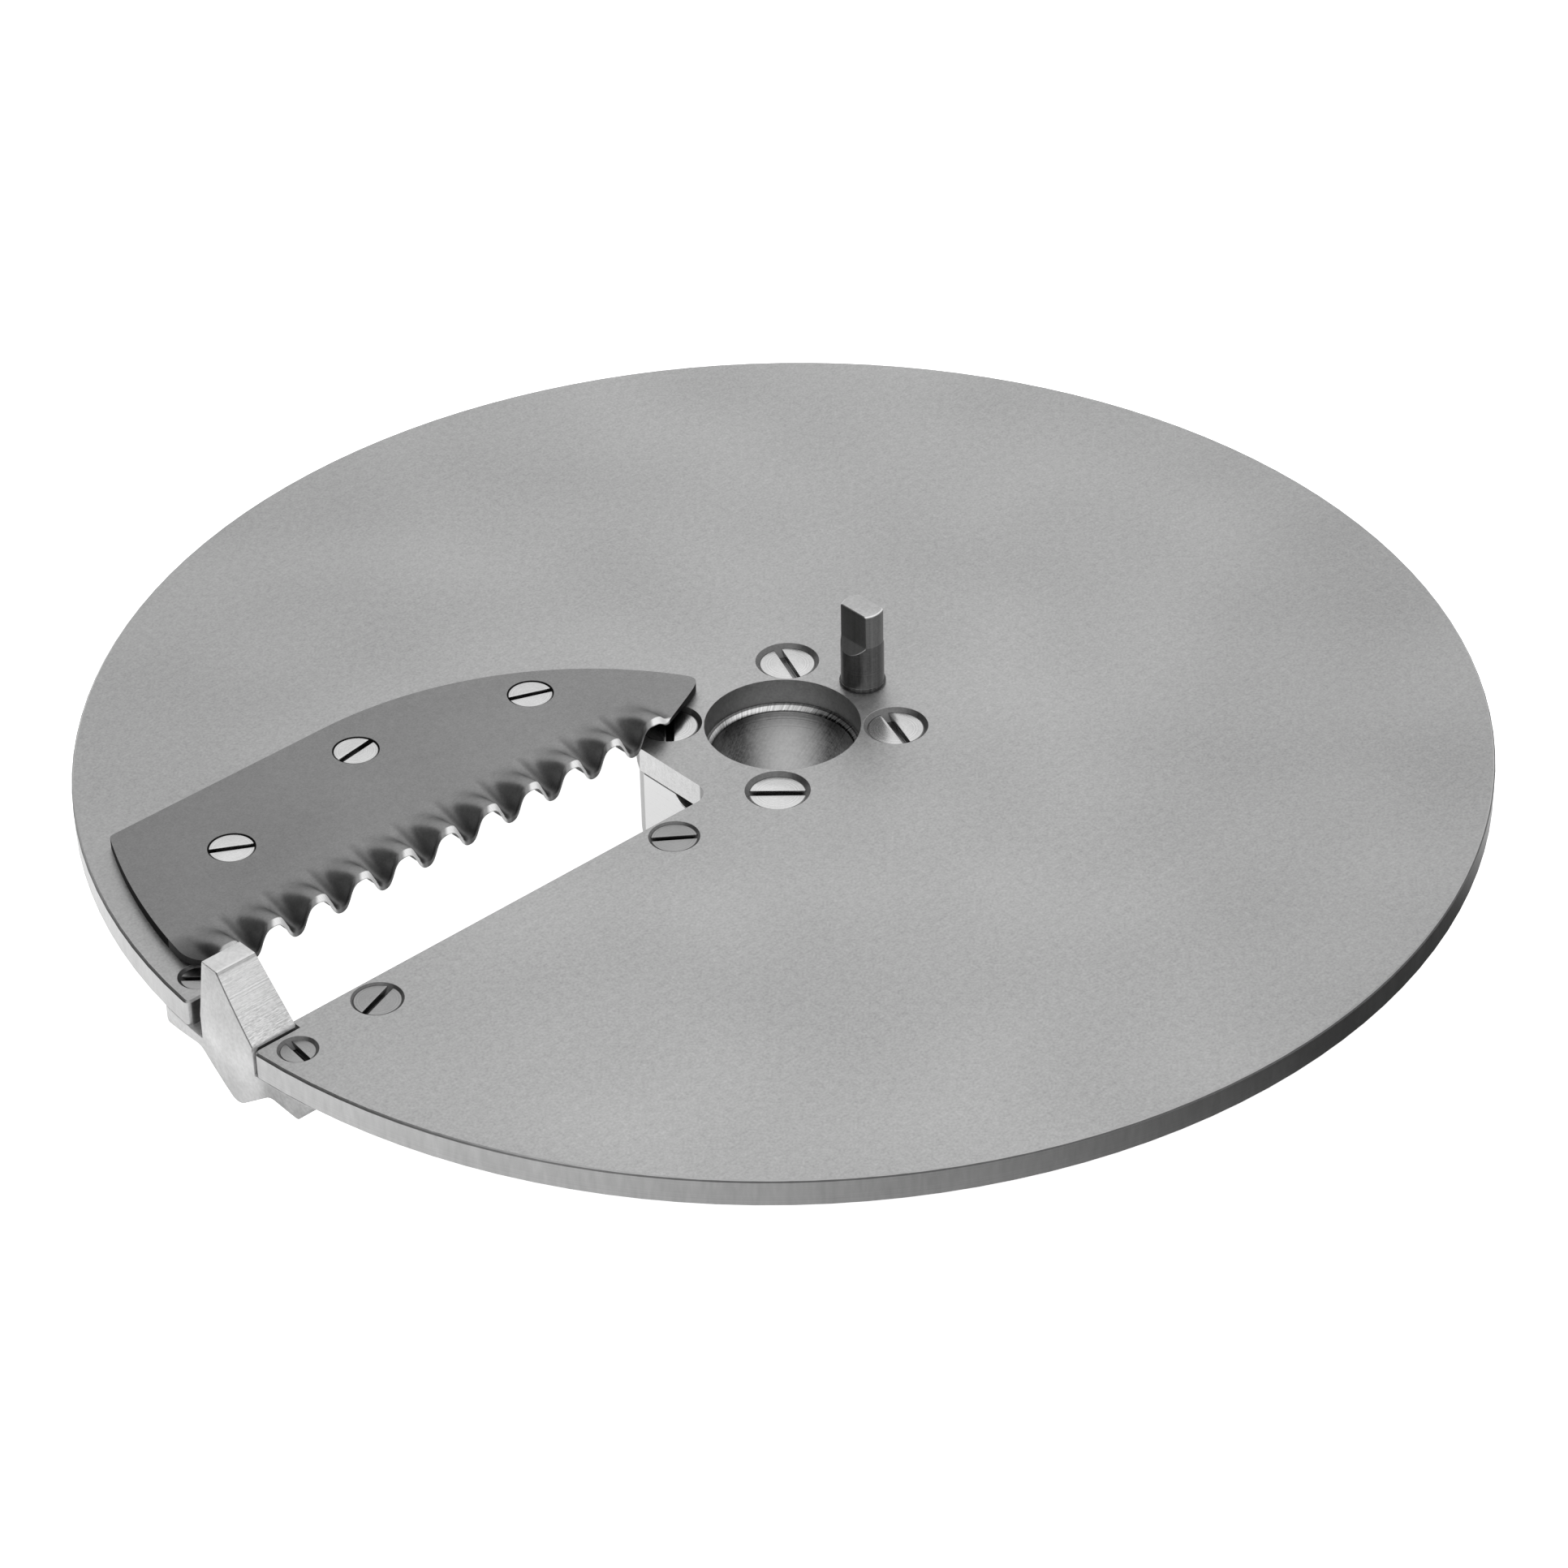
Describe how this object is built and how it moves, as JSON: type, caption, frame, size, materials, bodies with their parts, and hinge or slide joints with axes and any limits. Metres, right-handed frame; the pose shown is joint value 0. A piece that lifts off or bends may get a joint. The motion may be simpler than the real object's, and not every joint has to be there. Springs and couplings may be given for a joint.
{
  "type": "waffle cut disc",
  "caption": "Round satin steel cutting disc with a wavy blade over a radial slot, a cast bridge at the rim, a hub ring under the bore and a flatted drive pin.",
  "frame": {"origin": "on the shaft axis, at the top face of the disc plate", "axes": "+Z out of the top face along the shaft axis; +X from the axis along the slot to the bridge casting; the blade cuts towards +Y"},
  "size_m": [0.225, 0.225, 0.0329],
  "materials": {
    "satin_steel": "fine satin, lathe turned rim",
    "blade_steel": "darker satin, ground edge",
    "cast_aluminium": "as cast, with machined top and slope",
    "turned_steel": "turned",
    "dark_steel": "smooth ground",
    "bright_steel": "polished",
    "grey_steel": "satin"
  },
  "bodies": {
    "root": {"disc_plate": "satin_steel", "waffle_blade": "blade_steel", "bridge_casting": "cast_aluminium", "hub": "turned_steel", "drive_pin": "dark_steel", "hub_screw_1": "bright_steel", "hub_screw_2": "bright_steel", "hub_screw_3": "bright_steel", "hub_screw_4": "bright_steel", "blade_screw_1": "bright_steel", "blade_screw_2": "bright_steel", "blade_screw_3": "bright_steel", "plate_screw_1": "grey_steel", "plate_screw_2": "grey_steel", "rim_screw_1": "grey_steel", "rim_screw_2": "grey_steel"}
  },
  "joints": []
}
